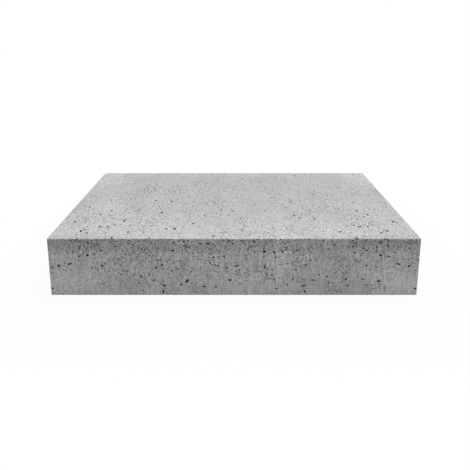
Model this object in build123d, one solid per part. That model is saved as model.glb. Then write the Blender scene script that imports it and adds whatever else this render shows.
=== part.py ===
from build123d import *
import os

# Concrete stair step, cast in one piece: a solid block with the edges that show slightly rounded.
# All sizes are in millimetres. The origin is the centre of the underside. +X runs along the step,
# +Y runs from the riser face to the back face, and +Z is up.

# Driving dimensions
STEP_LENGTH = 900.0  # from end face to end face, along X
STEP_DEPTH = 400.0  # from riser face to back face, along Y
STEP_HEIGHT = 150.0  # from underside to tread, along Z
ARRIS_RADIUS = 2.5  # rounding of the tread's edges and of the upright corners


def cast_block():
    """The square-edged block, standing on the plane of the origin."""
    return Box(
        STEP_LENGTH,
        STEP_DEPTH,
        STEP_HEIGHT,
        align=(Align.CENTER, Align.CENTER, Align.MIN),
    )


def edges_that_show(block):
    """The four edges of the tread and the four upright corners. The underside keeps its square edges."""
    tread = block.faces().sort_by(Axis.Z)[-1]
    upright_corners = block.edges().filter_by(Axis.Z)
    return tread.edges() + upright_corners


def make_stair_step():
    """The finished step: the block with its arrises rounded."""
    block = cast_block()
    return fillet(edges_that_show(block), radius=ARRIS_RADIUS)


os.makedirs("parts", exist_ok=True)
export_step(make_stair_step(), "parts/stair_step.step")
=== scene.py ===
import itertools
import math

import bmesh
import bpy
import numpy as np
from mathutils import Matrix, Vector, noise


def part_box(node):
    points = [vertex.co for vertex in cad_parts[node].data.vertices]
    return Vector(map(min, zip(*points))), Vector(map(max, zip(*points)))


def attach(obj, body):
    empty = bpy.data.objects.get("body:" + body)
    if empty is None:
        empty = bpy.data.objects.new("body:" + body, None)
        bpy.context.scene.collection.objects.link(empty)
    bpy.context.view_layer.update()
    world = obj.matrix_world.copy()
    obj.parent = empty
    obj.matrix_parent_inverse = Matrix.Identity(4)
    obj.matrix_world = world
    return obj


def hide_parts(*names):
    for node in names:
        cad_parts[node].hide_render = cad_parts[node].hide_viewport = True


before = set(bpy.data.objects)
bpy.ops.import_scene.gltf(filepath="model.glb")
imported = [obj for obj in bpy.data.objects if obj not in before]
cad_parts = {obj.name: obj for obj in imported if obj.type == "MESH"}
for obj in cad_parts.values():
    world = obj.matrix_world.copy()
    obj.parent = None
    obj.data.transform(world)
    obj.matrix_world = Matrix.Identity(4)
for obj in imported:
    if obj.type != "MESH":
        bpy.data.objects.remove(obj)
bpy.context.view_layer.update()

# The step and its mesh, in metres
MM = 0.001
STEP_NODE = "stair_step"
LOW, HIGH = (np.array(corner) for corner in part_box(STEP_NODE))
SIZE = HIGH - LOW
LENGTH, DEPTH, HEIGHT = SIZE
MIDDLE = (LOW + HIGH) / 2
ARRIS_RADIUS = 2.5 * MM
ARRIS_SETBACK = (math.sqrt(2) - 1) * ARRIS_RADIUS  # from the sharp edge to its rounding
ARRIS_SUPPORT = 0.6 * MM  # flat strip beside the rounding, which keeps the faces' shading flat
GRID = 16 * MM  # spacing of the mesh on the flat faces
SHARP_EDGE = math.radians(35)  # an edge that turns by more than this is shaded as sharp
SIDE_NOTE = "side"  # note on each face of the mesh: the side it belongs to
DEPTH_NOTE = "pore_depth"  # note on each point of the mesh: how far it lies below the block's surface, which sets the painted shade in the pores
SEED = 41

# Pores, in metres. Counts are tries on a square metre, at a side's foot or front and at its top or back
SMALLEST_PORE = 1.8 * MM
LARGEST_PORE = 7.0 * MM
SIZE_FALLOFF = 3.3  # how fast pores get rarer with size
MEDIUM_PORE = 2.7 * MM
LARGE_PORE = 4.6 * MM
SMALL_SIDES, MEDIUM_SIDES, LARGE_SIDES = 7, 10, 16  # corners of an outline
UPRIGHT_PORES = (4400, 11500)
TREAD_PORES = (7200, 3400)
BED_PORES = (600, 600)
LONG_PORES = 580  # tries on a square metre of the upright sides that have no landmarks
LONG_PORE_LENGTH = (4 * MM, 5 * MM, 9.5 * MM)  # shortest, most common, longest
LONG_PORE_BREADTH = (0.45, 0.85)  # as a share of the length
PORE_LIP = 0.8 * MM  # how far a cutting shape stands out of the face
LIP_SHARE = 1.05  # size of the cutting shape there, as a share of the outline
SMALL_BOWL = ((0.78, 0.55),)  # rings of a bowl: share of the outline, share of the depth
LARGE_BOWL = ((0.93, 0.30), (0.66, 0.76))
BOWL_DRIFT = 0.05  # how far a bowl's bottom may lie off its middle, as a share of the length
PORE_LOBES = ((2, 0.13), (3, 0.08))  # waves around an outline: how many, and how high as a share
PORE_JITTER = 0.06  # how far a corner of an outline may lie off these waves, as a share
PORE_BREADTH = (0.6, 1.0)  # as a share of the length
PORE_DEPTH = (0.7, 1.2)  # as a share of the breadth
PORE_SPACING = 1.1  # room that a pore takes up, as a share of its size
RIM_ALLOWANCE = 0.6 * MM  # added to a landmark's size, because the rim of a pore stays pale
CLUSTER_SIZE = 55 * MM
CLUSTER_RANGE = (-0.45, 0.35)  # cluster noise at which no pore and every pore is kept
CROWD_SIZE = 17 * MM  # smaller clusters within the large ones
CROWD_SHARE = 0.6  # how strong the smaller clusters are, as a share of the large ones
SATELLITES = 6  # at most this many small pores around a large one
SATELLITE_SIZE = (1.8 * MM, 3.0 * MM)
SATELLITE_REACH = (0.8, 2.6)  # distance, in lengths of the large pore
SATELLITE_DEPTH = 0.8  # as a share of the length

# Chips along the edges, in metres
CHIPS_PER_METRE = 6
CHIP_LENGTH = (3 * MM, 9 * MM)
CHIP_BITE = (0.3 * MM, 0.9 * MM)
CHIP_SECTION = (0.7, 1.3)  # least radius across the edge, as shares of the half length and of the bite
CHIP_SPAN = (0.03, 0.97)  # part of an edge that has chips
CHIP_ROUGHNESS = 0.14
CHIP_FINENESS = 2  # how often the faces of the cutting lump are divided

# Photo pixels that place the landmark pores: rows, and half widths of the step there
PHOTO_MIDDLE_X = 233.95
HORIZON_Y = 21.0
TREAD_BACK_Y = 171.9
TREAD_FRONT_Y = 237.7
RISER_BOTTOM_Y = 296.8
TREAD_BACK_HALF = 129.0
TREAD_FRONT_HALF = 185.8
RISER_BOTTOM_HALF = 183.9

# Camera, fitted to the photo's corners
IMAGE_SIDE = 470  # pixels
FOCAL_PIXELS = 359.3
SENSOR = 36.0  # width in millimetres
LENS_SHIFT = 0.32  # as a share of the image
SIDE_SHIFT_PIXELS = 1.0
CAMERA_PITCH = math.radians(8.71)  # downwards from level
CAMERA_TO_RISER = 0.7957  # metres in front of the riser
CAMERA_HEIGHT = 0.6456  # metres above the foot of the step

# Landmark pores that the riser shows left and right alike, given for the left:
# pixel x, pixel y, length and breadth in mm, tilt in degrees
RISER_PAIRS = (
    (81, 241, 4.5, 3.0, -10),
    (89, 242, 6.0, 5.0, 0),
    (81, 246, 5.0, 3.5, 90),
    (92, 247, 4.0, 3.5, 0),
    (116, 246, 6.0, 4.0, 35),
    (134, 244, 5.0, 4.0, 90),
    (102, 250, 5.0, 4.5, 0),
    (74, 252, 4.5, 3.5, 80),
    (88, 255, 7.5, 5.5, 40),
    (80, 256, 5.5, 4.5, 20),
    (158, 260, 6.0, 4.0, -30),
    (162, 265, 6.5, 4.0, -10),
    (70, 264, 12.0, 4.0, 25),
    (59, 266, 8.5, 5.0, -50),
    (102, 266, 5.0, 4.5, 0),
    (92, 268, 4.5, 4.0, 0),
    (98, 270, 4.0, 3.0, 75),
    (172, 271, 4.0, 3.5, 0),
    (149, 275, 4.5, 3.5, 0),
    (141, 277, 5.5, 4.0, 30),
    (154, 281, 9.5, 3.5, 0),
    (139, 284, 5.0, 4.0, 0),
    (164, 287, 9.5, 4.5, 0),
    (52, 290, 6.0, 4.5, 35),
    (163, 293, 7.5, 4.5, 75),
)

# Landmark pores that the riser shows once
RISER_SINGLES = (
    (174, 242, 6.0, 4.5, 80),
    (184, 241, 4.5, 3.5, 0),
    (200, 243, 6.0, 4.5, 0),
    (208, 243, 8.0, 5.0, -15),
    (224, 240, 4.5, 3.5, 0),
    (229, 240, 5.0, 4.0, -20),
    (233, 243, 5.0, 4.0, 0),
    (243, 241, 6.0, 3.0, 50),
    (254, 241, 8.0, 4.0, -60),
    (173, 250, 9.0, 4.0, 0),
    (264, 251, 8.5, 6.0, -70),
    (274, 252, 10.0, 5.0, -50),
    (282, 251, 7.0, 4.0, -55),
    (297, 250, 7.5, 3.5, 5),
    (354, 252, 5.5, 4.5, 0),
    (362, 253, 3.5, 3.0, 0),
    (126, 254, 4.5, 4.0, 0),
    (224, 256, 5.0, 4.0, 0),
    (214, 257, 5.0, 4.0, 70),
    (210, 263, 5.5, 3.5, 80),
    (218, 266, 6.0, 4.0, -60),
    (227, 268, 5.0, 4.0, 90),
    (237, 266, 8.5, 4.0, 25),
    (265, 267, 7.5, 4.0, 55),
    (272, 270, 4.5, 3.5, 0),
    (121, 275, 5.0, 3.5, 0),
    (187, 282, 9.5, 6.5, 40),
    (181, 286, 7.0, 4.5, -55),
    (204, 288, 8.0, 5.0, -10),
    (216, 288, 5.5, 4.5, 0),
    (230, 281, 8.0, 5.0, 0),
    (274, 280, 5.0, 4.0, 0),
    (293, 280, 5.0, 3.5, 0),
    (276, 290, 6.0, 3.5, 0),
    (287, 286, 6.0, 4.0, 65),
    (346, 280, 6.0, 4.0, -45),
    (363, 280, 5.5, 4.0, 0),
    (348, 287, 5.5, 4.0, 60),
    (379, 282, 9.0, 5.0, 35),
    (374, 290, 4.0, 3.5, 0),
)

# Landmark pores that the tread shows left and right alike, given for the left
TREAD_PAIRS = (
    (82, 230, 7.0, 6.5, 0),
    (88, 232, 6.0, 5.5, 0),
    (76, 221, 6.5, 6.0, 0),
    (101, 214, 6.0, 5.5, 45),
    (112, 210, 6.0, 5.5, 60),
    (101, 226, 5.5, 5.5, 0),
    (109, 226, 7.5, 6.0, 0),
    (129, 231, 6.0, 5.5, 0),
    (154, 218, 6.0, 5.5, 0),
    (113, 237, 6.0, 4.5, 90),
)

# Landmark pores that the tread shows once
TREAD_SINGLES = (
    (125, 220, 7.0, 6.5, 0),
    (175, 228, 8.0, 7.5, 0),
    (167, 228, 6.0, 5.0, 0),
    (156, 200, 6.0, 6.0, 0),
    (162, 212, 6.0, 5.5, 0),
    (205, 215, 4.5, 4.0, 0),
    (221, 209, 5.5, 5.0, 0),
    (225, 231, 5.0, 4.0, 30),
    (150, 237, 4.5, 3.5, 90),
    (299, 217, 4.5, 4.0, 0),
    (300, 200, 4.5, 4.0, 0),
    (313, 194, 6.0, 4.5, 0),
    (346, 225, 5.0, 4.5, 0),
    (371, 221, 4.0, 3.5, 0),
)

# Paler and darker patches that the riser and the tread show left and right alike, given for the left:
# pixel x, pixel y, half width and half height in mm, tone at the middle
RISER_PATCH_PAIRS = (
    (68, 284, 120, 85, 1.17),
    (121, 284, 75, 60, 0.9),
    (88, 242, 170, 28, 0.84),
    (125, 260, 85, 30, 0.85),
)
TREAD_PATCH_PAIRS = (
    (106, 178, 110, 110, 1.15),
    (108, 206, 80, 60, 1.07),
)

# Patches that they show once
RISER_PATCH_SINGLES = (
    (280, 258, 60, 120, 1.18),
    (250, 290, 130, 60, 1.17),
    (402, 268, 50, 50, 0.9),
    (299, 247, 40, 25, 0.88),
)
TREAD_PATCH_SINGLES = (
    (232, 222, 130, 80, 0.95),
    (258, 206, 110, 70, 0.93),
    (328, 202, 70, 60, 1.05),
)
PATCH_DEPTH = 25 * MM  # how far a patch goes below its face

# Ground that is more or less pitted than elsewhere: as the patches, with what is added to the pitting
RISER_GROUND = (
    (63, 250, 60, 40, -0.3),
    (342, 247, 60, 35, -0.25),
    (350, 278, 60, 35, -0.15),
    (270, 274, 70, 40, 0.25),
)
TREAD_GROUND = (
    (145, 191, 90, 60, 0.35),
    (176, 189, 60, 50, 0.25),
    (214, 202, 70, 50, 0.3),
    (100, 218, 70, 50, 0.2),
    (150, 219, 60, 40, 0.2),
    (255, 210, 110, 60, -0.3),
    (195, 228, 50, 30, -0.3),
    (296, 230, 60, 25, 0.2),
)

# Concrete: sizes in metres, tones and strengths as shares of the tint
CONCRETE_TINT = (0.402, 0.3895, 0.396)
PATTERN_TURN = (0.45, 0.6, 0.35)  # keeps the grid of the random patterns out of line with the faces
PATTERN_DETAIL = 2.0
LEVEL_FACES = (0.4, 0.8)  # upward share of the normal: where a face starts to be level, and where it is
MOTTLES = ((120 * MM, 0.14), (35 * MM, 0.16), (13 * MM, 0.08), (1.4 * MM, 0.46))  # size, strength
TREAD_CONTRAST = 0.62  # strength of mottling and streaks on the tread, as a share
SPECK_SIZE = 4.4 * MM
SPECK_STRENGTH = (0.74, 0.58)  # on the upright sides and on the tread
SPECK_PATCHES = (-0.4, 0.4, 0.4, 1.7)  # from smooth to pitted ground, and the share of the specks there
STREAKS = ((9 * MM, 9.0, 0.14), (5.2 * MM, 4.0, 0.4))  # width, stretch upwards, strength
# Painted light and shade in the concrete's colour: painted shade under the tread's edge, painted light at
# the foot of the upright sides and on the tread, strongest at its front, and a painted highlight along the
# tread's back
PAINTED_SHADE_BAND = (26 * MM, 42 * MM)  # how far the painted shade at the top of the upright sides, under the tread's edge, reaches down
PAINTED_SHADE_BAND_TONE = 0.84
PAINTED_EDGE_SHADE = (5 * MM, 9 * MM)  # how far the darkest painted shade, a line under the tread's edge, reaches down
# tone of the painted shade line under the tread's edge
PAINTED_EDGE_TONE = 0.765
FOOT = 45 * MM  # how far the painted light at the foot of the upright sides, as thrown up by the floor, reaches up
# tone of the painted light at the foot of the upright sides
PAINTED_FOOT_LIGHT = 1.02
PAINTED_TREAD_LIGHT = (1.03, 0.975)  # painted light on the tread, from front to back
TREAD_FRONT = 150 * MM  # how far the stronger painted light at the tread's front reaches back
# tone of the painted light at the tread's front
PAINTED_TREAD_FRONT_LIGHT = 1.13
TREAD_REAR = (20 * MM, 45 * MM)  # how far the painted highlight along the tread's back edge reaches forwards
# tone of the painted highlight along the tread's back edge
PAINTED_TREAD_BACK_HIGHLIGHT = 1.035
PIT_CELL = 4.4 * MM  # size of the cells that have one pit at most
PIT_RADIUS = 2.4 * MM
NO_PIT = 0.01  # radius in cells that leaves no mark
PIT_CHANCE = (0.4, 1.2)  # value at which a cell has no pit, and at which it has the largest
PIT_RIM = (0.35, 1.15)  # where a pit's edge fades, in radii
PIT_CROWDING = 0.5  # how much the chance differs between smooth and pitted ground
PIT_WOBBLE = (3.2 * MM, 3.0 * MM)  # size of the waves that make the pits uneven, and how far they reach
UPRIGHT_PITTING = (-0.14, 0.14)  # added to the chance at the foot and at the top of the upright sides
TREAD_PITTING = (0.0, -0.06)  # added to the chance at the tread's front and back
# painted shade in the pits too small to model
PIT_SHADE_TONE = 0.08
PIT_BUMP = -1.5  # depth of a pit, in heights of the grain
PORE_SHADE_DEPTH = 1.4 * MM  # depth at which the painted shade in a pore is darkest
PORE_SHADE_TONES = (0.26, 0.08)  # painted shade at a pore's bottom, in the upright sides and in the tread
GRAIN_SIZE = 1.6 * MM
GRAIN_BUMP = 0.25 * MM
GRAIN_DETAIL = 3.0
ROUGHNESS = (0.8, 0.95)
SPECULAR = 0.3

# Studio, in metres
FLOOR_HALF = 20.0
FLOOR_GAP = 0.2 * MM  # between the step and the floor
FLOOR_TINT = (0.61, 0.61, 0.61, 1)
WHITE = (1, 1, 1, 1)
WHITE_SHARE = (0.93, 1.0)  # how much of the floor is plain white to the camera, near the step and away
WHITE_REACH = (0.03, 0.25)  # how far from the step the first share ends, and the second starts
WORLD_LIGHT = 0.25
LAMP_STRENGTH = 3.38
LAMP_ANGLE = math.radians(60)  # how wide the lamp is in the sky, which softens its shadows
LAMP_TILT = math.radians(4)  # from straight above, towards the riser's side
LAMP_LEAN = math.radians(14)  # from straight above, towards the right end's side, so that the corners show


class Side:
    """One face of the step: its middle, the two directions in it, its size along them and its pores."""

    def __init__(self, outward, across, pores, map_corner):
        self.outward = np.array(outward, float)
        self.across = np.array(across, float)
        self.along = np.cross(self.outward, self.across)
        self.middle = MIDDLE + self.outward * SIZE / 2
        self.wide = float(abs(self.across) @ SIZE)
        self.high = float(abs(self.along) @ SIZE)
        self.pores = pores
        self.map_corner = map_corner

    def point(self, a, b, inward=0.0):
        """The point at a across and b along from the face's middle, at some depth below the face."""
        return self.middle + a * self.across + b * self.along - inward * self.outward

    def from_edges(self, a, b):
        """How far a place on the face lies from the nearest edge of the face."""
        return min(self.wide / 2 - abs(a), self.high / 2 - abs(b))

    def from_foot(self, a, b):
        """How far a place on the face lies from the square edges at the step's foot."""
        return self.from_edges(a, b) if self is BED else self.point(a, b)[2] - LOW[2]


# The six sides, each with its corner in the texture map, in metres on the map
MAP_GAP = 10 * MM
SECOND_ROW = DEPTH + MAP_GAP
THIRD_ROW = 2 * SECOND_ROW
FOURTH_ROW = THIRD_ROW + HEIGHT + MAP_GAP
END_COLUMN = LENGTH + MAP_GAP
MAP_SIDE = FOURTH_ROW + HEIGHT
TREAD = Side((0, 0, 1), (1, 0, 0), TREAD_PORES, (0, 0))
BED = Side((0, 0, -1), (1, 0, 0), BED_PORES, (0, SECOND_ROW))
RISER = Side((0, -1, 0), (1, 0, 0), UPRIGHT_PORES, (0, THIRD_ROW))
BACK = Side((0, 1, 0), (-1, 0, 0), UPRIGHT_PORES, (0, FOURTH_ROW))
RIGHT_END = Side((1, 0, 0), (0, 1, 0), UPRIGHT_PORES, (END_COLUMN, 0))
LEFT_END = Side((-1, 0, 0), (0, -1, 0), UPRIGHT_PORES, (END_COLUMN, SECOND_ROW))
ENDS = (RIGHT_END, LEFT_END)
UPRIGHTS = (RISER, BACK, *ENDS)
SIDES = (*UPRIGHTS, TREAD, BED)


def facing(direction):
    """The number of the side that faces most nearly in a direction."""
    return int(np.argmax([side.outward @ direction for side in SIDES]))


def riser_place(x, y):
    """Where a pixel of the photo lies on the riser, from the middle of that face."""
    down = (y - TREAD_FRONT_Y) / (RISER_BOTTOM_Y - TREAD_FRONT_Y)
    half = TREAD_FRONT_HALF + down * (RISER_BOTTOM_HALF - TREAD_FRONT_HALF)
    return (x - PHOTO_MIDDLE_X) / half * LENGTH / 2, (0.5 - down) * HEIGHT


def tread_place(x, y):
    """Where a pixel of the photo lies on the tread, from the middle of that face."""
    nearness = [1 / (row - HORIZON_Y) for row in (TREAD_FRONT_Y, y, TREAD_BACK_Y)]
    back = (nearness[1] - nearness[0]) / (nearness[2] - nearness[0])
    rise = (y - TREAD_BACK_Y) / (TREAD_FRONT_Y - TREAD_BACK_Y)
    half = TREAD_BACK_HALF + rise * (TREAD_FRONT_HALF - TREAD_BACK_HALF)
    return (x - PHOTO_MIDDLE_X) / half * LENGTH / 2, (back - 0.5) * DEPTH


def mirrored(x):
    """The pixel across the photo's middle from another one."""
    return 2 * PHOTO_MIDDLE_X - x


# What the photo shows of a side: the side, how a pixel is placed on it, and its lists
LANDMARKS = (
    (RISER, riser_place, RISER_PAIRS, RISER_SINGLES),
    (TREAD, tread_place, TREAD_PAIRS, TREAD_SINGLES),
)
TONE_PATCHES = (
    (RISER, riser_place, RISER_PATCH_PAIRS, RISER_PATCH_SINGLES),
    (TREAD, tread_place, TREAD_PATCH_PAIRS, TREAD_PATCH_SINGLES),
)
GROUNDS = (
    (RISER, riser_place, RISER_GROUND),
    (TREAD, tread_place, TREAD_GROUND),
)


def added_pitting(side, a, b):
    """What the ground patches add to the pitting at a place on a side."""
    added = 0.0
    for ground_side, to_side, patches in GROUNDS:
        if ground_side is not side:
            continue
        for x, y, half_wide, half_high, pitting in patches:
            middle = to_side(x, y)
            share = math.hypot((a - middle[0]) / half_wide, (b - middle[1]) / half_high) / MM
            added += pitting * max(0.0, 1 - share)
    return added


def grid_stops(low, high, rounded_low):
    """Places of the grid lines along one axis: close together at a rounded edge, even between."""
    half_way = ARRIS_RADIUS * (1 - math.tan(math.pi / 8))  # lands in the middle of the rounding
    near_edge = (0.0, half_way, ARRIS_RADIUS, ARRIS_RADIUS + ARRIS_SUPPORT)
    start = [low + step for step in near_edge] if rounded_low else [low]
    end = [high - step for step in reversed(near_edge)]
    count = round((end[0] - start[-1]) / GRID)
    between = np.linspace(start[-1], end[0], count + 1)[1:-1]
    return [*start, *between, *end]


def from_core(points):
    """The nearest points of the core that the rounding is struck from, and the steps out from them."""
    core = np.clip(points, LOW + (ARRIS_RADIUS, ARRIS_RADIUS, 0), HIGH - ARRIS_RADIUS)
    return core, points - core


def rounded(points):
    """Moves points of the square block on to the block with rounded tread edges and upright corners."""
    core, step_out = from_core(points)
    reach = np.abs(step_out).max(axis=1)
    length = np.linalg.norm(step_out, axis=1)
    scale = np.divide(reach, length, out=np.zeros_like(reach), where=length > 0)
    return core + step_out * scale[:, None]


def depth_below_surface(points):
    """How far each point lies below the rounded block's surface."""
    core, step_out = from_core(points)
    outside = np.linalg.norm(step_out, axis=1)
    to_walls = np.minimum(points[:, :2] - LOW[:2], HIGH[:2] - points[:, :2]).min(axis=1)
    to_tread = HIGH[2] - points[:, 2]
    from_rounding = np.where(outside > 0, ARRIS_RADIUS - outside, np.minimum(to_walls, to_tread))
    return np.minimum(from_rounding, points[:, 2] - LOW[2])


def block_mesh():
    """The plain block as a closed grid with rounded arrises: points, faces and the side of each face."""
    stops = [grid_stops(LOW[axis], HIGH[axis], axis < 2) for axis in range(3)]
    index = {}
    faces = []
    face_sides = []
    for axis in range(3):
        first, second = (axis + 1) % 3, (axis + 2) % 3
        cells = list(itertools.product(range(len(stops[first]) - 1), range(len(stops[second]) - 1)))
        for end, sign in ((0, -1), (len(stops[axis]) - 1, 1)):
            for i, j in cells:
                corners = [(i, j), (i + 1, j), (i + 1, j + 1), (i, j + 1)]
                face = []
                for a, b in corners[::sign]:
                    key = [end, end, end]
                    key[first] = a
                    key[second] = b
                    face.append(index.setdefault(tuple(key), len(index)))
                faces.append(face)
            face_sides += [facing(sign * np.eye(3)[axis])] * len(cells)
    points = np.array([[stops[axis][key[axis]] for axis in range(3)] for key in index])
    return rounded(points), faces, face_sides


def corner_count(length):
    """How many corners the outline of a pore has."""
    if length > LARGE_PORE:
        return LARGE_SIDES
    return MEDIUM_SIDES if length > MEDIUM_PORE else SMALL_SIDES


def rough_lump(random):
    """An uneven ball of about unit radius: points and three-sided faces."""
    ball = bmesh.new()
    bmesh.ops.create_icosphere(ball, subdivisions=CHIP_FINENESS, radius=1.0)
    points = np.array([vertex.co for vertex in ball.verts])
    faces = [[vertex.index for vertex in face.verts] for face in ball.faces]
    ball.free()
    return points * (1 + random.uniform(-CHIP_ROUGHNESS, CHIP_ROUGHNESS, (len(points), 1))), faces


class Cutters:
    """Collects the shapes that cut the pores and the chips. No two of them touch."""

    def __init__(self):
        self.random = np.random.default_rng(SEED)
        self.points = []
        self.faces = []
        self.face_sides = []
        self.balls = np.empty((0, 4))

    def claim(self, centre, radius):
        """Takes up a ball of space, unless another shape is in it."""
        gaps = np.linalg.norm(self.balls[:, :3] - centre, axis=1) - self.balls[:, 3] - radius
        free = not (gaps < 0).any()
        if free:
            self.balls = np.vstack([self.balls, [*centre, radius]])
        return free

    def add_pore(self, side, a, b, length, breadth, tilt, depth):
        """Adds one pore at a, b on a side, if there is room for it."""
        radius = PORE_SPACING * max(length, depth) / 2
        if side.from_foot(a, b) > length and self.claim(side.point(a, b, depth / 2), radius):
            self.sweep(side, a, b, self.outline(length, breadth, tilt), length, depth)

    def add_inner_pore(self, side, a, b, length, *shape):
        """Adds a pore that leaves the rounded edges whole."""
        if side.from_edges(a, b) > ARRIS_RADIUS + length / 2:
            self.add_pore(side, a, b, length, *shape)

    def add_landmarks(self, side, to_side, pairs, singles):
        """Adds the landmark pores of one side, then small ones around them."""
        others = [(mirrored(x), y, length, breadth, -tilt) for x, y, length, breadth, tilt in pairs]
        landmarks = (*pairs, *others, *singles)
        for x, y, length, breadth, tilt in landmarks:
            sizes = (length * MM + RIM_ALLOWANCE, breadth * MM + RIM_ALLOWANCE)
            self.add_pore(side, *to_side(x, y), *sizes, math.radians(tilt), breadth * MM)
        for x, y, length, _, _ in landmarks:
            self.add_satellites(side, *to_side(x, y), length * MM)

    def add_satellites(self, side, a, b, length):
        """Adds a few small pores around a pore, if it is a large one."""
        random = self.random
        for _ in range(random.integers(SATELLITES + 1) if length > LARGE_PORE else 0):
            turn = random.uniform(0, 2 * math.pi)
            away = random.uniform(*SATELLITE_REACH) * length
            size = random.uniform(*SATELLITE_SIZE)
            breadth = size * random.uniform(*PORE_BREADTH)
            spot = (a + away * math.cos(turn), b + away * math.sin(turn))
            self.add_inner_pore(side, *spot, size, breadth, turn, SATELLITE_DEPTH * size)

    def outline(self, length, breadth, tilt):
        """An uneven oval, counter-clockwise."""
        corners = corner_count(length)
        turn = np.arange(corners) * 2 * math.pi / corners
        reach = 1 + self.random.uniform(-PORE_JITTER, PORE_JITTER, corners)
        for waves, height in PORE_LOBES:
            reach += height * np.cos(waves * turn + self.random.uniform(0, 2 * math.pi))
        across = reach * np.cos(turn) * length / 2
        along = reach * np.sin(turn) * breadth / 2
        cosine = math.cos(tilt)
        sine = math.sin(tilt)
        return np.column_stack([across * cosine - along * sine, across * sine + along * cosine])

    def sweep(self, side, a, b, outline, length, depth):
        """Closes rings of the outline into a bowl that starts just outside the face."""
        start = len(self.points)
        corners = len(outline)
        drift = self.random.uniform(-BOWL_DRIFT, BOWL_DRIFT, 2) * length
        bowl = LARGE_BOWL if length > MEDIUM_PORE else SMALL_BOWL
        self.points += [side.point(a + p, b + q, -PORE_LIP) for p, q in LIP_SHARE * outline]
        for share, deep in bowl:
            ring = share * outline + deep * drift
            self.points += [side.point(a + p, b + q, deep * depth) for p, q in ring]
        self.points.append(side.point(a + drift[0], b + drift[1], depth))
        bottom = len(self.points) - 1
        last = start + len(bowl) * corners
        made = [[start + i for i in range(corners)]]
        for i in range(corners):
            after = (i + 1) % corners
            for upper in range(start, last, corners):
                lower = upper + corners
                made.append([upper + i, lower + i, lower + after, upper + after])
            made.append([last + i, bottom, last + after])
        self.faces += made
        self.face_sides += [SIDES.index(side)] * len(made)

    def random_length(self):
        """The length of a pore: the larger, the rarer."""
        share = 1 - (SMALLEST_PORE / LARGEST_PORE) ** SIZE_FALLOFF
        return SMALLEST_PORE * (1 - self.random.uniform(0, share)) ** (-1 / SIZE_FALLOFF)

    def scatter_pores(self, side):
        """Fills a side with pores of random size, thicker in some patches than in others."""
        random = self.random
        most = max(side.pores)
        for _ in range(round(most * side.wide * side.high)):
            up = random.uniform(0, 1)
            a = random.uniform(-0.5, 0.5) * side.wide
            b = (up - 0.5) * side.high
            spot = Vector(side.point(a, b))
            patch = noise.noise(spot / CLUSTER_SIZE) + CROWD_SHARE * noise.noise(spot / CROWD_SIZE)
            thin = random.uniform(*CLUSTER_RANGE) > patch + added_pitting(side, a, b)
            if thin or random.uniform(0, most) > np.interp(up, (0, 1), side.pores):
                continue
            length = self.random_length()
            breadth = length * random.uniform(*PORE_BREADTH)
            depth = breadth * random.uniform(*PORE_DEPTH)
            self.add_inner_pore(side, a, b, length, breadth, random.uniform(0, math.pi), depth)
            self.add_satellites(side, a, b, length)

    def scatter_long_pores(self, side):
        """Gives a side pores like the riser's landmarks, at random places."""
        random = self.random
        for _ in range(round(LONG_PORES * side.wide * side.high)):
            a = random.uniform(-0.5, 0.5) * side.wide
            b = random.uniform(-0.5, 0.5) * side.high
            length = random.triangular(*LONG_PORE_LENGTH)
            breadth = length * random.uniform(*LONG_PORE_BREADTH)
            self.add_inner_pore(side, a, b, length, breadth, random.uniform(0, math.pi), breadth)

    def chip_edge(self, start, end, out):
        """Nicks one rounded edge at random places."""
        random = self.random
        run = end - start
        edge_length = np.linalg.norm(run)
        ahead = run / edge_length
        axes = np.array([ahead, out, np.cross(ahead, out)])
        for _ in range(round(CHIPS_PER_METRE * edge_length)):
            half = random.uniform(*CHIP_LENGTH) / 2
            bite = random.uniform(*CHIP_BITE) + ARRIS_SETBACK
            place = start + random.uniform(*CHIP_SPAN) * run
            radius = max(CHIP_SECTION[0] * half, CHIP_SECTION[1] * bite)
            if not self.claim(place, max(half, radius) * (1 + CHIP_ROUGHNESS)):
                continue
            lump, lump_faces = rough_lump(random)
            first = len(self.points)
            placed = place + (radius - bite) * out + (lump * (half, radius, radius)) @ axes
            self.points += list(placed)
            for face in lump_faces:
                corners = placed[face]
                outward = np.cross(corners[1] - corners[0], corners[2] - corners[0])
                self.face_sides.append(facing(-outward))
                self.faces.append([first + i for i in face])

    def chip_edges(self):
        """Chips the tread's edges and the upright corners: where two sides meet, from corner to corner."""
        half = SIZE / 2
        for one, other in itertools.combinations((TREAD, *UPRIGHTS), 2):
            if one.outward @ other.outward == 0:
                out = one.outward + other.outward
                ahead = np.cross(one.outward, other.outward)
                middle = MIDDLE + out * half
                self.chip_edge(middle - ahead * half, middle + ahead * half, out / math.sqrt(2))


def all_cutters():
    """The landmark pores, the chips, then the pores at random places of all six sides."""
    cutters = Cutters()
    for landmarks in LANDMARKS:
        cutters.add_landmarks(*landmarks)
    cutters.chip_edges()
    for side in SIDES:
        if side in (BACK, *ENDS):
            cutters.scatter_long_pores(side)
        cutters.scatter_pores(side)
    return cutters


def new_object(name, points, faces):
    """Adds a mesh to the scene."""
    mesh = bpy.data.meshes.new(name)
    mesh.from_pydata([tuple(point) for point in points], [], faces)
    mesh.update()
    made = bpy.data.objects.new(name, mesh)
    bpy.context.scene.collection.objects.link(made)
    return made


def with_sides(made, face_sides):
    """Notes on each face which side of the step it belongs to. The cut keeps these notes."""
    attribute = made.data.attributes.new(SIDE_NOTE, "INT", "FACE")
    attribute.data.foreach_set("value", np.array(face_sides, np.int32))
    return made


def cut_away(body, cutter):
    """Subtracts the cutter from the body for good, and removes it."""
    modifier = body.modifiers.new("pores", "BOOLEAN")
    modifier.operation = "DIFFERENCE"
    modifier.solver = "MANIFOLD"
    modifier.object = cutter
    graph = bpy.context.evaluated_depsgraph_get()
    body.data = bpy.data.meshes.new_from_object(body.evaluated_get(graph))
    body.modifiers.clear()
    bpy.data.objects.remove(cutter)


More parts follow.
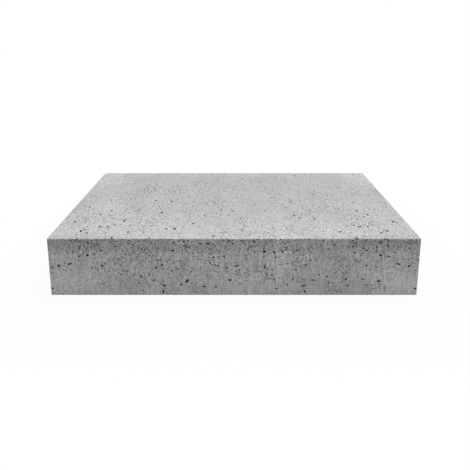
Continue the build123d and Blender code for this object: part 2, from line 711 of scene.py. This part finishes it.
def read_values(items, name, kind, width=1):
    """One value, or several in a row, from each of a mesh's items."""
    values = np.empty(len(items) * width, kind)
    items.foreach_get(name, values)
    return values


def mesh_points(mesh):
    """The places of a mesh's points, one in each row."""
    return read_values(mesh.vertices, "co", np.float32, 3).reshape(-1, 3).astype(float)


def note_pore_depth(mesh):
    """Stores each point's depth below the block's surface, for the material's painted shade in the pores.
    """
    depth = depth_below_surface(mesh_points(mesh)).clip(min=0)
    attribute = mesh.attributes.new(DEPTH_NOTE, "FLOAT", "POINT")
    attribute.data.foreach_set("value", depth.astype(np.float32))


def lay_out_map(mesh):
    """Gives the mesh a texture map: each side flat and to scale, and each bowl as seen from its side."""
    points = mesh_points(mesh)[read_values(mesh.loops, "vertex_index", np.int32)]
    corners = read_values(mesh.polygons, "loop_total", np.int32)
    corner_sides = np.repeat(read_values(mesh.attributes[SIDE_NOTE].data, "value", np.int32), corners)
    places = np.empty((len(points), 2))
    for number, side in enumerate(SIDES):
        on_side = corner_sides == number
        from_middle = points[on_side] - side.middle
        flat = [from_middle @ side.across + side.wide / 2, from_middle @ side.along + side.high / 2]
        if side in ENDS:
            flat = [side.high - flat[1], flat[0]]
        places[on_side] = np.column_stack(flat) + side.map_corner
    layer = mesh.uv_layers.new(name="OFBake")
    layer.uv.foreach_set("vector", (places / MAP_SIDE).astype(np.float32).ravel())


def make_step():
    """The finished step: the block, cut and given its shading, notes, map and material."""
    points, faces, face_sides = block_mesh()
    step = with_sides(new_object("concrete_step", points, faces), face_sides)
    cutters = all_cutters()
    cut_away(step, with_sides(new_object("cutters", cutters.points, cutters.faces), cutters.face_sides))
    step.data.shade_smooth()
    step.data.set_sharp_from_angle(angle=SHARP_EDGE)
    note_pore_depth(step.data)
    lay_out_map(step.data)
    step.data.materials.clear()
    step.data.materials.append(concrete_material())
    return step


def add_node(tree, kind, inputs, **settings):
    """Adds a node. An input is a number, a colour or another node's output."""
    made = tree.nodes.new(kind)
    for name, value in settings.items():
        setattr(made, name, value)
    for name, value in inputs.items():
        if isinstance(value, bpy.types.NodeSocket):
            tree.links.new(value, made.inputs[name])
        else:
            made.inputs[name].default_value = value
    return made


def calculate(tree, operation, *values):
    """Works out a number from one or more numbers."""
    return add_node(tree, "ShaderNodeMath", dict(enumerate(values)), operation=operation).outputs[0]


def vector(tree, operation, *values):
    """Works out a vector, or a vector's length."""
    made = add_node(tree, "ShaderNodeVectorMath", dict(enumerate(values)), operation=operation)
    return made.outputs["Value" if operation == "LENGTH" else "Vector"]


def fade(tree, value, start, end, low=0.0, high=1.0):
    """Maps value smoothly from start..end to low..high."""
    inputs = {"Value": value, "From Min": start, "From Max": end, "To Min": low, "To Max": high}
    kind = "ShaderNodeMapRange"
    return add_node(tree, kind, inputs, interpolation_type="SMOOTHSTEP").outputs["Result"]


def pattern_space(tree, place, size, stretch=1.0):
    """Coordinates for a random pattern with features of one size in metres, stretched upwards."""
    scale = (1 / size, 1 / size, 1 / (size * stretch))
    inputs = {"Vector": place, "Scale": scale, "Rotation": PATTERN_TURN}
    return add_node(tree, "ShaderNodeMapping", inputs).outputs[0]


def noise_node(tree, place, size, stretch=1.0, detail=PATTERN_DETAIL):
    """A random pattern with features of one size in metres."""
    inputs = {"Vector": pattern_space(tree, place, size, stretch), "Scale": 1.0, "Detail": detail}
    return add_node(tree, "ShaderNodeTexNoise", inputs)


def noise_tone(tree, place, size, strength, stretch=1.0, detail=PATTERN_DETAIL):
    """Noise about nought."""
    field = noise_node(tree, place, size, stretch, detail).outputs[0]
    return calculate(tree, "MULTIPLY_ADD", field, 2 * strength, -strength)


def levelness(tree, normal):
    """One on the tread and the bed, nought on the upright sides."""
    upward = add_node(tree, "ShaderNodeSeparateXYZ", {0: normal}).outputs[2]
    return fade(tree, calculate(tree, "ABSOLUTE", upward), *LEVEL_FACES)


def by_side(tree, level, upright, tread):
    """One value on the upright sides and another on the level ones."""
    return fade(tree, level, 0.0, 1.0, upright, tread)


def patch_value(tree, place, side, to_side, patch, outside):
    """The value of a patch at its middle, which fades into another value outside the patch."""
    x, y, half_wide, half_high, value = patch
    in_face = abs(side.across) * half_wide + abs(side.along) * half_high
    reach = in_face * MM + abs(side.outward) * PATCH_DEPTH
    from_middle = vector(tree, "SUBTRACT", place, side.point(*to_side(x, y)))
    share = vector(tree, "LENGTH", vector(tree, "DIVIDE", from_middle, reach))
    return fade(tree, share, 0.0, 1.0, value, outside)


def pitted_ground(tree, place, level):
    """How pitted a place is, about nought: in patches, and most at the sides' top and the tread's front."""
    spot = add_node(tree, "ShaderNodeSeparateXYZ", {0: place}).outputs
    upright = fade(tree, spot[2], LOW[2], HIGH[2], *UPRIGHT_PITTING)
    tread = fade(tree, spot[1], LOW[1], HIGH[1], *TREAD_PITTING)
    clusters = noise_tone(tree, place, CLUSTER_SIZE, PIT_CROWDING)
    ground = calculate(tree, "ADD", clusters, by_side(tree, level, upright, tread))
    for side, to_side, patches in GROUNDS:
        for patch in patches:
            added = patch_value(tree, place, side, to_side, patch, 0.0)
            ground = calculate(tree, "ADD", ground, added)
    return ground


def fine_pits(tree, place, ground):
    """Mask of round pits too small to model, one in some of the cells of a random pattern. It sets the
    pits' painted shade and their bump.
    """
    wave, reach = PIT_WOBBLE
    waves = noise_node(tree, place, wave).outputs["Color"]
    moved = vector(tree, "MULTIPLY_ADD", waves, (reach, reach, reach), place)
    inputs = {"Vector": pattern_space(tree, moved, PIT_CELL), "Scale": 1.0}
    cells = add_node(tree, "ShaderNodeTexVoronoi", inputs).outputs
    chance = add_node(tree, "ShaderNodeSeparateColor", {"Color": cells["Color"]}).outputs[0]
    chance = calculate(tree, "ADD", chance, ground)
    size = fade(tree, chance, *PIT_CHANCE, NO_PIT, PIT_RADIUS / PIT_CELL)
    share = calculate(tree, "DIVIDE", cells["Distance"], size)
    return fade(tree, share, *PIT_RIM, 1.0, 0.0)


def painted_light_and_shade(tree, place, level):
    """Painted light and shade: upright sides darker under the tread's edge as painted shade and paler at
    the foot as painted light; the tread paler at its front and back as painted light and a painted
    highlight.
    """
    spot = add_node(tree, "ShaderNodeSeparateXYZ", {0: place}).outputs
    upright = fade(tree, spot[2], LOW[2], LOW[2] + FOOT, PAINTED_FOOT_LIGHT, 1.0)
    for (near, far), tone in ((PAINTED_SHADE_BAND, PAINTED_SHADE_BAND_TONE), (PAINTED_EDGE_SHADE, PAINTED_EDGE_TONE)):
        upright = fade(tree, spot[2], HIGH[2] - far, HIGH[2] - near, upright, tone)
    tread = fade(tree, spot[1], LOW[1], HIGH[1], *PAINTED_TREAD_LIGHT)
    tread = fade(tree, spot[1], LOW[1], LOW[1] + TREAD_FRONT, PAINTED_TREAD_FRONT_LIGHT, tread)
    near, far = TREAD_REAR
    tread = fade(tree, spot[1], HIGH[1] - far, HIGH[1] - near, tread, PAINTED_TREAD_BACK_HIGHLIGHT)
    return by_side(tree, level, upright, tread)


def patch_tone(tree, place):
    """The tone of all the patches of the riser and the tread together."""
    together = 1.0
    for side, to_side, pairs, singles in TONE_PATCHES:
        others = [(mirrored(x), *rest) for x, *rest in pairs]
        for patch in (*pairs, *others, *singles):
            tone = patch_value(tree, place, side, to_side, patch, 1.0)
            together = calculate(tree, "MULTIPLY", together, tone)
    return together


def speckle(tree, place, level, ground):
    """Mottling, specks and upright streaks, about one."""
    specks = noise_tone(tree, place, SPECK_SIZE, 1.0)
    specks = calculate(tree, "MULTIPLY", specks, by_side(tree, level, *SPECK_STRENGTH))
    specks = calculate(tree, "MULTIPLY", specks, fade(tree, ground, *SPECK_PATCHES))
    marks = 0.0
    for size, strength in MOTTLES:
        marks = calculate(tree, "ADD", marks, noise_tone(tree, place, size, strength))
    for width, stretch, strength in STREAKS:
        marks = calculate(tree, "ADD", marks, noise_tone(tree, place, width, strength, stretch))
    marks = calculate(tree, "MULTIPLY_ADD", marks, by_side(tree, level, 1.0, TREAD_CONTRAST), 1.0)
    return calculate(tree, "ADD", marks, specks)


def painted_pore_shade(tree, level):
    """One on the faces, and painted shade darker towards the bottoms of the pores."""
    depth = add_node(tree, "ShaderNodeAttribute", {}, attribute_name=DEPTH_NOTE).outputs["Fac"]
    return fade(tree, depth, 0.0, PORE_SHADE_DEPTH, 1.0, by_side(tree, level, *PORE_SHADE_TONES))


def concrete_material():
    """Grey concrete: mottled, specked and streaked, with fine pits, dark pores and a sandy grain; painted
    shade in the pits, the pores and under the tread's edge, painted light at the sides' foot and on the
    tread's front, and a painted highlight at the tread's back.
    """
    material = bpy.data.materials.new("cast_concrete")
    material.use_nodes = True
    tree = material.node_tree
    coordinates = tree.nodes.new("ShaderNodeTexCoord").outputs
    place = coordinates["Object"]
    level = levelness(tree, coordinates["Normal"])
    ground = pitted_ground(tree, place, level)
    pits = fine_pits(tree, place, ground)
    tone = speckle(tree, place, level, ground)
    # painted light and shade of the sides
    painted_side_light = painted_light_and_shade(tree, place, level)
    # painted shade in the fine pits
    painted_pit_shade = fade(tree, pits, 0.0, 1.0, 1.0, PIT_SHADE_TONE)
    for factor in (painted_side_light, patch_tone(tree, place), painted_pit_shade, painted_pore_shade(tree, level)):
        tone = calculate(tree, "MULTIPLY", tone, factor)
    colour = add_node(tree, "ShaderNodeVectorMath", {0: CONCRETE_TINT, "Scale": tone}, operation="SCALE")
    grain = noise_tone(tree, place, GRAIN_SIZE, 1.0, detail=GRAIN_DETAIL)
    height = calculate(tree, "MULTIPLY_ADD", pits, PIT_BUMP, grain)
    bump = add_node(tree, "ShaderNodeBump", {"Height": height, "Distance": GRAIN_BUMP})
    shader = tree.nodes["Principled BSDF"].inputs
    tree.links.new(colour.outputs[0], shader["Base Color"])
    tree.links.new(fade(tree, grain, -1.0, 1.0, *ROUGHNESS), shader["Roughness"])
    tree.links.new(bump.outputs[0], shader["Normal"])
    shader["Specular IOR Level"].default_value = SPECULAR
    return material


def seen_directly(tree):
    """One where the camera looks, straight, by reflection or through glass, and nought for other light."""
    path = tree.nodes.new("ShaderNodeLightPath")
    seen = path.outputs["Is Camera Ray"]
    for name in ("Is Glossy Ray", "Is Transmission Ray"):
        seen = calculate(tree, "MAXIMUM", seen, path.outputs[name])
    return seen


def floor_material():
    """A pale floor that is nearly white to the camera, and keeps a little of the step's shadow."""
    material = bpy.data.materials.new("studio_floor")
    material.use_nodes = True
    tree = material.node_tree
    tree.nodes.clear()
    diffuse = add_node(tree, "ShaderNodeBsdfDiffuse", {"Color": FLOOR_TINT})
    white = add_node(tree, "ShaderNodeEmission", {"Color": WHITE, "Strength": 1.0})
    place = tree.nodes.new("ShaderNodeTexCoord").outputs["Object"]
    beside = vector(tree, "SUBTRACT", vector(tree, "ABSOLUTE", place), (LENGTH / 2, DEPTH / 2, 0))
    away = vector(tree, "LENGTH", vector(tree, "MAXIMUM", beside, (0, 0, 0)))
    share = fade(tree, away, *WHITE_REACH, *WHITE_SHARE)
    share = calculate(tree, "MULTIPLY", seen_directly(tree), share)
    mix = add_node(tree, "ShaderNodeMixShader", {0: share, 1: diffuse.outputs[0], 2: white.outputs[0]})
    add_node(tree, "ShaderNodeOutputMaterial", {"Surface": mix.outputs[0]})
    return material


def make_floor():
    """A wide level floor just below the step."""
    below = LOW[2] - FLOOR_GAP
    corners = [(x * FLOOR_HALF, y * FLOOR_HALF, below) for x, y in ((-1, -1), (1, -1), (1, 1), (-1, 1))]
    floor = new_object("floor", corners, [[0, 1, 2, 3]])
    floor.data.materials.append(floor_material())
    return floor


def light_the_world():
    """Soft light from all round, which is plain white to the camera."""
    world = bpy.data.worlds.new("studio")
    bpy.context.scene.world = world
    world.use_nodes = True
    tree = world.node_tree
    background = tree.nodes["Background"].inputs
    background["Color"].default_value = WHITE
    strength = fade(tree, seen_directly(tree), 0.0, 1.0, WORLD_LIGHT, 1.0)
    tree.links.new(strength, background["Strength"])


def hang_the_lamp():
    """One wide soft lamp, nearly overhead."""
    lamp = bpy.data.lights.new("overhead", "SUN")
    lamp.energy = LAMP_STRENGTH
    lamp.angle = LAMP_ANGLE
    overhead = bpy.data.objects.new("overhead", lamp)
    overhead.rotation_euler = (LAMP_TILT, LAMP_LEAN, 0)
    bpy.context.scene.collection.objects.link(overhead)


def make_camera():
    """The camera at the photo's place."""
    data = bpy.data.cameras.new("camera")
    data.sensor_width = SENSOR
    data.lens = FOCAL_PIXELS * SENSOR / IMAGE_SIDE
    data.shift_y = -LENS_SHIFT
    data.shift_x = SIDE_SHIFT_PIXELS / IMAGE_SIDE
    camera = bpy.data.objects.new("camera", data)
    camera.location = (MIDDLE[0], LOW[1] - CAMERA_TO_RISER, LOW[2] + CAMERA_HEIGHT)
    camera.rotation_euler = (math.pi / 2 - CAMERA_PITCH, 0, 0)
    bpy.context.scene.collection.objects.link(camera)
    bpy.context.scene.camera = camera


step = make_step()
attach(step, "root")
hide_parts(STEP_NODE)
make_floor()
light_the_world()
hang_the_lamp()
make_camera()
bpy.context.scene.view_settings.view_transform = "Standard"
